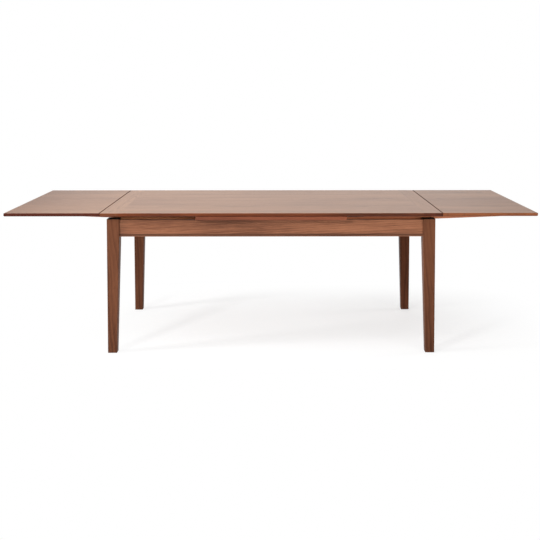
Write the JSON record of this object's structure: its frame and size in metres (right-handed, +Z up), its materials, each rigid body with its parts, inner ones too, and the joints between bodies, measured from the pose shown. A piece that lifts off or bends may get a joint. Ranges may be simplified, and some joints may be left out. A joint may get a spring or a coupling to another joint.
{
  "type": "draw-leaf extension table",
  "caption": "Rectangular walnut draw-leaf dining table: a fixed top over a centre board, tapered square legs, and a flush leaf drawn out at each end on sloped runners.",
  "frame": {"origin": "on the floor under the middle of the top, with both leaves drawn out", "axes": "+X to the right along the table, +Y towards the rear side, +Z up"},
  "size_m": [2.804, 1, 0.755],
  "materials": {
    "top_walnut": "oiled walnut veneer, satin",
    "band_walnut": "oiled walnut, satin, grain across the table",
    "leaf_walnut": "oiled walnut veneer, satin",
    "board_walnut": "oiled walnut, satin, pale edge",
    "apron_walnut": "oiled walnut, satin",
    "leg_walnut": "oiled walnut, satin",
    "runner_walnut": "oiled walnut, satin",
    "inner_wood": "planed hardwood, unfinished",
    "pad_black": "matt black pad",
    "felt": "dark felt",
    "glide_black": "matt",
    "zinc_steel": "zinc plated"
  },
  "bodies": {
    "frame": {"leg_front_left": "leg_walnut", "corner_block_front_left": "inner_wood", "leg_front_right": "leg_walnut", "corner_block_front_right": "inner_wood", "leg_rear_left": "leg_walnut", "corner_block_rear_left": "inner_wood", "leg_rear_right": "leg_walnut", "corner_block_rear_right": "inner_wood", "leg_pads": "pad_black", "leg_bolts": "zinc_steel", "foot_glides": "glide_black", "apron_front": "apron_walnut", "guide_rail_front": "inner_wood", "apron_rear": "apron_walnut", "guide_rail_rear": "inner_wood", "centre_board": "board_walnut", "felt_strips": "felt", "apron_right": "apron_walnut", "cross_bearer_right": "inner_wood", "right_runner_front": "runner_walnut", "right_runner_rear": "runner_walnut", "right_stop_blocks": "inner_wood", "right_leaf": "leaf_walnut", "apron_left": "apron_walnut", "cross_bearer_left": "inner_wood", "left_runner_front": "runner_walnut", "left_runner_rear": "runner_walnut", "left_stop_blocks": "inner_wood", "left_leaf": "leaf_walnut"},
    "top": {"top_field": "top_walnut", "top_end_band_left": "band_walnut", "top_end_band_right": "band_walnut", "guide_pins": "zinc_steel"}
  },
  "joints": [
    {"name": "top_lift", "type": "slide", "parent": "frame", "child": "top", "axis": [0, 0, 1], "range_m": [0, 0.025]}
  ]
}
